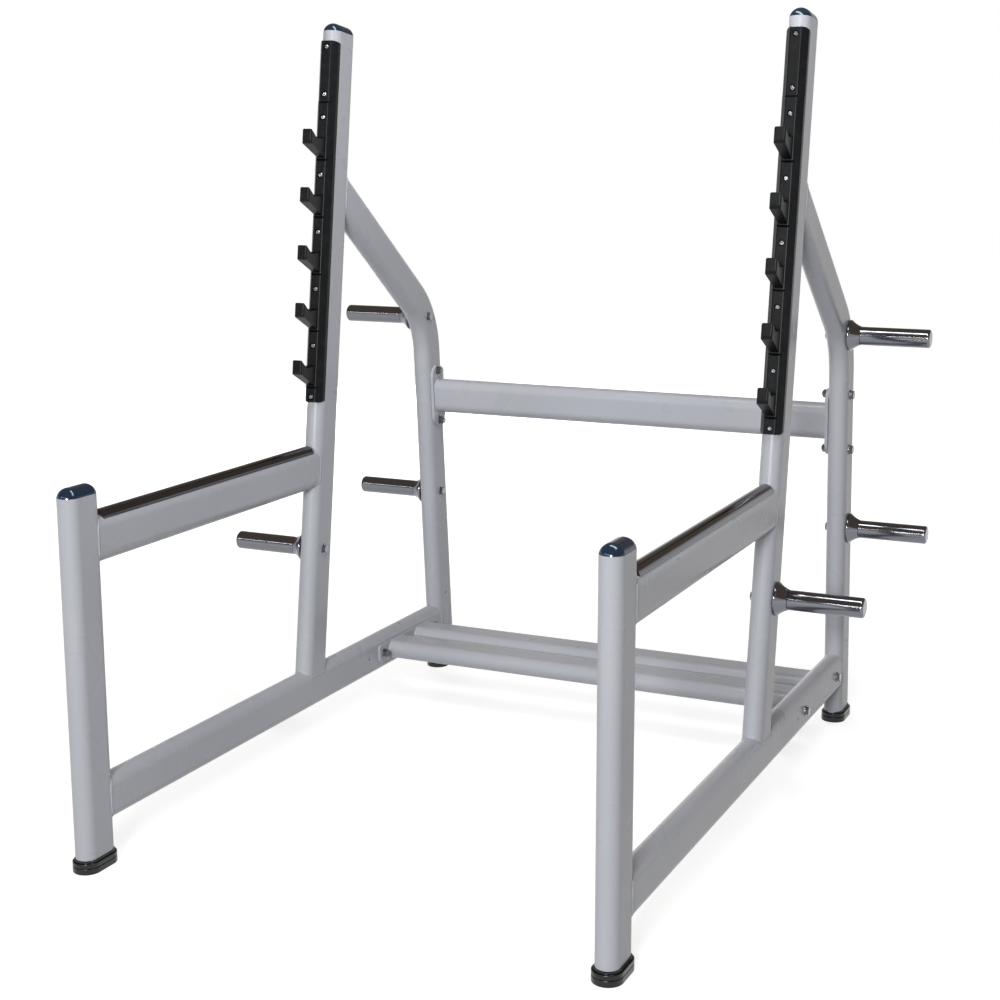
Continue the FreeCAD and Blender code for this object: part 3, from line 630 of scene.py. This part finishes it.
@dataclass(frozen=True)
class Studio:
    """Pale floor, pale surroundings and the lamps.

    The floor's lift is the white added to it for the camera, near and far
    from the rack. The ambient is the surroundings' strength as light, least
    and most, and the ceiling the colours at two heights of the view.
    """

    floor_size: float = 60.0
    floor_colour: str = "#A8A8A8"
    lift: tuple[float, float] = (0.76, 0.98)
    lift_distances: tuple[float, float] = (0.8, 3.2)
    ambient: tuple[float, float] = (0.06, 0.66)
    ambient_from: tuple[float, float, float] = (-0.8, 0.6, 0.0)
    ceiling: tuple[str, str] = (WHITE, "#84776C")
    ceiling_heights: tuple[float, float] = (0.12, 0.26)
    lamps: tuple[Softbox, ...] = (
        Softbox("front_lamp", (1.5, -6.5, 2.5), (0.0, 0.0, 0.9), (1.3, 1.3), 375.0),
        Softbox("inner_lamp", (0.45, -0.3, 3.0), (-0.5, 0.1, 0.8), (0.4, 2.4), 40.0),
        Softbox("strip_lamp", (-1.6, -5.4, 2.9), (0.0, 0.0, 0.8), (6.4, 0.08), 44.0),
        Softbox("back_lamp", (-4.2, 5.6, 1.2), (0.0, 0.0, 0.9), (3.0, 1.6), 330.0, mirrored=False),
    )

    def build(self) -> None:
        """Add floor, world and lamps."""
        self.add_floor()
        self.light_world()
        for lamp in self.lamps:
            lamp.build()
            log.info("lamp %s", lamp.name)

    def add_floor(self) -> None:
        """Lay the floor, which stays white but keeps the rack's shadow."""
        bpy.ops.object.select_all(action="DESELECT")
        bpy.ops.mesh.primitive_plane_add(size=self.floor_size)
        floor = bpy.context.object
        floor.name = "studio_floor"
        material = bpy.data.materials.new("white_studio_paper")
        material.use_nodes = True
        tree = material.node_tree
        tree.nodes.clear()
        paper = add_node(tree, "ShaderNodeBsdfDiffuse", Color=linear(self.floor_colour))
        place = add_node(tree, "ShaderNodeTexCoord").outputs["Object"]
        distance = add_node(tree, "ShaderNodeVectorMath", {"operation": "LENGTH"}, _0=place)
        white = add_node(
            tree,
            "ShaderNodeMapRange",
            Value=distance.outputs["Value"],
            From_Min=self.lift_distances[0],
            From_Max=self.lift_distances[1],
            To_Min=self.lift[0],
            To_Max=self.lift[1],
        )
        lift = add_node(
            tree, "ShaderNodeMath", {"operation": "MULTIPLY"}, _0=seen(tree), _1=white.outputs["Result"]
        )
        glow = add_node(tree, "ShaderNodeEmission", Color=linear(WHITE), Strength=lift.outputs[0])
        both = add_node(tree, "ShaderNodeAddShader", _0=paper.outputs[0], _1=glow.outputs[0])
        add_node(tree, "ShaderNodeOutputMaterial", Surface=both.outputs[0])
        floor.data.materials.append(material)

    def light_world(self) -> None:
        """White surroundings that darken overhead, dimmer as light than they look."""
        world = bpy.data.worlds.new("white_studio")
        bpy.context.scene.world = world
        world.use_nodes = True
        tree = world.node_tree
        tree.nodes.clear()
        way = add_node(tree, "ShaderNodeTexCoord").outputs["Generated"]
        height = add_node(tree, "ShaderNodeSeparateXYZ", Vector=way).outputs["Z"]
        wall = add_node(
            tree, "ShaderNodeVectorMath", {"operation": "DOT_PRODUCT"}, _0=way, _1=self.ambient_from
        )
        fill = add_node(
            tree,
            "ShaderNodeMapRange",
            Value=wall.outputs["Value"],
            From_Min=-1.0,
            To_Min=self.ambient[0],
            To_Max=self.ambient[1],
        )
        strength = add_node(
            tree, "ShaderNodeMapRange", Value=seen(tree), To_Min=fill.outputs["Result"], To_Max=1.0
        )
        light = add_node(
            tree,
            "ShaderNodeBackground",
            Color=mixed(tree, height, *self.ceiling, self.ceiling_heights),
            Strength=strength.outputs["Result"],
        )
        add_node(tree, "ShaderNodeOutputWorld", Surface=light.outputs[0])


def main() -> None:
    """Dress the rack, lay its weld beads, then add floor, light and camera."""
    logging.basicConfig(level=logging.INFO, format="%(name)s: %(message)s")
    bpy.context.scene.view_settings.view_transform = "Standard"
    dresser = Dresser()
    dresser.dress()
    WeldBeads().build(dresser.materials[Slot.PAINT])
    Studio().build()
    StudioCamera().build()


if __name__ == "__main__":
    main()
